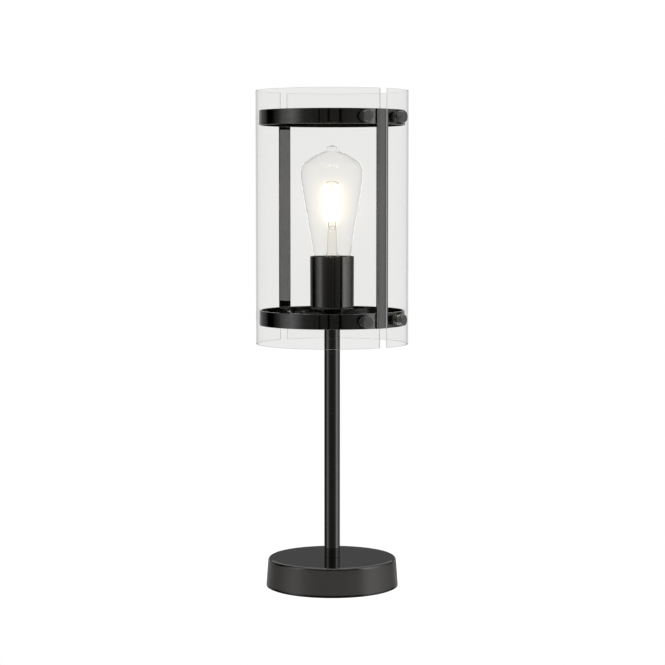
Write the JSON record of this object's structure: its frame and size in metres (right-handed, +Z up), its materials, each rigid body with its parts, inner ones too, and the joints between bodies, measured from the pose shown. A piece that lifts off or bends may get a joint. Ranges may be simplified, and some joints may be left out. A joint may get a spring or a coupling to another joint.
{
  "type": "table lamp",
  "caption": "Table lamp: round weighted base, plain stem and a clear glass cylinder shade in two halves, screwed to rings round a bare filament bulb.",
  "frame": {"origin": "centre of the base pad's underside, on the floor", "axes": "+Z up along the stem, -Y towards the front, +X to the right as seen from the front"},
  "size_m": [0.1535, 0.1574, 0.5017],
  "materials": {
    "gloss_black": "gloss black lacquer, mirror smooth",
    "cast_iron": "as cast, grey primer",
    "zinc_steel": "zinc plated",
    "black_sheet": "black satin paint",
    "pad": "soft foam rubber",
    "black_plastic": "moulded, smooth",
    "white_plastic": "moulded, matt",
    "porcelain": "glazed ceramic",
    "brass": "plain",
    "nickel_brass": "nickel plated",
    "brown_wire": "wire insulation",
    "blue_wire": "wire insulation",
    "earth_wire": "wire insulation, green and yellow",
    "clear_glass": "clear, polished",
    "bulb_glass": "clear, thin",
    "silicone": "translucent silicone",
    "black_vitrite": "black glass",
    "filament": "phosphor coat",
    "steel_wire": "bright wire",
    "solder": "soft solder"
  },
  "bodies": {
    "lamp": {"base_cover": "gloss_black", "base_weight": "cast_iron", "base_plate": "black_sheet", "base_plate_screws": "zinc_steel", "base_pad": "pad", "cord_grommet": "black_plastic", "base_nipple": "zinc_steel", "base_nut": "zinc_steel", "base_lock_washer": "zinc_steel", "earth_tag": "brass", "terminal_block": "white_plastic", "terminal_screws": "nickel_brass", "live_wire": "brown_wire", "neutral_wire": "blue_wire", "earth_wire": "earth_wire", "stem_tube": "gloss_black", "stem_lower_insert": "zinc_steel", "stem_upper_insert": "zinc_steel", "holder_nipple": "zinc_steel", "lower_ring": "gloss_black", "upper_ring": "gloss_black", "front_bar": "gloss_black", "rear_bar": "gloss_black", "cap_nuts": "gloss_black", "crossbar": "gloss_black", "front_left_glass": "clear_glass", "rear_right_glass": "clear_glass", "glass_bushes": "silicone", "cup_spacer": "gloss_black", "holder_cup": "gloss_black", "holder_cap": "black_plastic", "holder_insert": "porcelain", "holder_screws": "nickel_brass", "holder_skirt": "black_plastic", "holder_shell": "nickel_brass", "centre_contact": "nickel_brass"},
    "bulb_rise": {"bulb_tip": "solder"},
    "bulb": {"bulb_glass": "bulb_glass", "bulb_cap": "nickel_brass", "bulb_insulator": "black_vitrite", "bulb_mount": "bulb_glass", "bulb_filaments": "filament", "bulb_leads": "steel_wire"},
    "lower_front_left_washer": {"lower_front_left_washer": "black_plastic"},
    "lower_front_left_thumbscrew": {"lower_front_left_thumbscrew": "gloss_black"},
    "lower_front_right_washer": {"lower_front_right_washer": "black_plastic"},
    "lower_front_right_thumbscrew": {"lower_front_right_thumbscrew": "gloss_black"},
    "lower_rear_left_washer": {"lower_rear_left_washer": "black_plastic"},
    "lower_rear_left_thumbscrew": {"lower_rear_left_thumbscrew": "gloss_black"},
    "lower_rear_right_washer": {"lower_rear_right_washer": "black_plastic"},
    "lower_rear_right_thumbscrew": {"lower_rear_right_thumbscrew": "gloss_black"},
    "upper_front_left_washer": {"upper_front_left_washer": "black_plastic"},
    "upper_front_left_thumbscrew": {"upper_front_left_thumbscrew": "gloss_black"},
    "upper_front_right_washer": {"upper_front_right_washer": "black_plastic"},
    "upper_front_right_thumbscrew": {"upper_front_right_thumbscrew": "gloss_black"},
    "upper_rear_left_washer": {"upper_rear_left_washer": "black_plastic"},
    "upper_rear_left_thumbscrew": {"upper_rear_left_thumbscrew": "gloss_black"},
    "upper_rear_right_washer": {"upper_rear_right_washer": "black_plastic"},
    "upper_rear_right_thumbscrew": {"upper_rear_right_thumbscrew": "gloss_black"}
  },
  "joints": [
    {"name": "bulb_lift", "type": "slide", "parent": "lamp", "child": "bulb_rise", "axis": [0, 0, 1], "range_m": [0, 0.01704]},
    {"name": "bulb_turn", "type": "hinge", "parent": "bulb_rise", "child": "bulb", "pos_m": [0, 0, 0.303], "axis": [0, 0, 1], "range_deg": [0, 1690]},
    {"name": "lower_front_left_travel", "type": "slide", "parent": "lamp", "child": "lower_front_left_washer", "axis": [0.4226, -0.9063, 0], "range_m": [0, 0.00481]},
    {"name": "lower_front_left_turn", "type": "hinge", "parent": "lower_front_left_washer", "child": "lower_front_left_thumbscrew", "pos_m": [0.03277, -0.07028, 0.274], "axis": [0.4226, -0.9063, 0], "range_deg": [0, 2160]},
    {"name": "lower_front_right_travel", "type": "slide", "parent": "lamp", "child": "lower_front_right_washer", "axis": [0.848, -0.5299, 0], "range_m": [0, 0.00481]},
    {"name": "lower_front_right_turn", "type": "hinge", "parent": "lower_front_right_washer", "child": "lower_front_right_thumbscrew", "pos_m": [0.06577, -0.0411, 0.274], "axis": [0.848, -0.5299, 0], "range_deg": [0, 2160]},
    {"name": "lower_rear_left_travel", "type": "slide", "parent": "lamp", "child": "lower_rear_left_washer", "axis": [-0.848, 0.5299, 0], "range_m": [0, 0.00481]},
    {"name": "lower_rear_left_turn", "type": "hinge", "parent": "lower_rear_left_washer", "child": "lower_rear_left_thumbscrew", "pos_m": [-0.06577, 0.0411, 0.274], "axis": [-0.848, 0.5299, 0], "range_deg": [0, 2160]},
    {"name": "lower_rear_right_travel", "type": "slide", "parent": "lamp", "child": "lower_rear_right_washer", "axis": [-0.4226, 0.9063, 0], "range_m": [0, 0.00481]},
    {"name": "lower_rear_right_turn", "type": "hinge", "parent": "lower_rear_right_washer", "child": "lower_rear_right_thumbscrew", "pos_m": [-0.03277, 0.07028, 0.274], "axis": [-0.4226, 0.9063, 0], "range_deg": [0, 2160]},
    {"name": "upper_front_left_travel", "type": "slide", "parent": "lamp", "child": "upper_front_left_washer", "axis": [0.4226, -0.9063, 0], "range_m": [0, 0.00481]},
    {"name": "upper_front_left_turn", "type": "hinge", "parent": "upper_front_left_washer", "child": "upper_front_left_thumbscrew", "pos_m": [0.03277, -0.07028, 0.4744], "axis": [0.4226, -0.9063, 0], "range_deg": [0, 2160]},
    {"name": "upper_front_right_travel", "type": "slide", "parent": "lamp", "child": "upper_front_right_washer", "axis": [0.848, -0.5299, 0], "range_m": [0, 0.00481]},
    {"name": "upper_front_right_turn", "type": "hinge", "parent": "upper_front_right_washer", "child": "upper_front_right_thumbscrew", "pos_m": [0.06577, -0.0411, 0.4744], "axis": [0.848, -0.5299, 0], "range_deg": [0, 2160]},
    {"name": "upper_rear_left_travel", "type": "slide", "parent": "lamp", "child": "upper_rear_left_washer", "axis": [-0.848, 0.5299, 0], "range_m": [0, 0.00481]},
    {"name": "upper_rear_left_turn", "type": "hinge", "parent": "upper_rear_left_washer", "child": "upper_rear_left_thumbscrew", "pos_m": [-0.06577, 0.0411, 0.4744], "axis": [-0.848, 0.5299, 0], "range_deg": [0, 2160]},
    {"name": "upper_rear_right_travel", "type": "slide", "parent": "lamp", "child": "upper_rear_right_washer", "axis": [-0.4226, 0.9063, 0], "range_m": [0, 0.00481]},
    {"name": "upper_rear_right_turn", "type": "hinge", "parent": "upper_rear_right_washer", "child": "upper_rear_right_thumbscrew", "pos_m": [-0.03277, 0.07028, 0.4744], "axis": [-0.4226, 0.9063, 0], "range_deg": [0, 2160]}
  ],
  "couplings": [
    {"joint": "bulb_lift", "follows": "bulb_turn", "m_per_rad": 0.00057757},
    {"joint": "lower_front_left_travel", "follows": "lower_front_left_turn", "m_per_rad": 0.00012732},
    {"joint": "lower_front_right_travel", "follows": "lower_front_right_turn", "m_per_rad": 0.00012732},
    {"joint": "lower_rear_left_travel", "follows": "lower_rear_left_turn", "m_per_rad": 0.00012732},
    {"joint": "lower_rear_right_travel", "follows": "lower_rear_right_turn", "m_per_rad": 0.00012732},
    {"joint": "upper_front_left_travel", "follows": "upper_front_left_turn", "m_per_rad": 0.00012732},
    {"joint": "upper_front_right_travel", "follows": "upper_front_right_turn", "m_per_rad": 0.00012732},
    {"joint": "upper_rear_left_travel", "follows": "upper_rear_left_turn", "m_per_rad": 0.00012732},
    {"joint": "upper_rear_right_travel", "follows": "upper_rear_right_turn", "m_per_rad": 0.00012732}
  ]
}
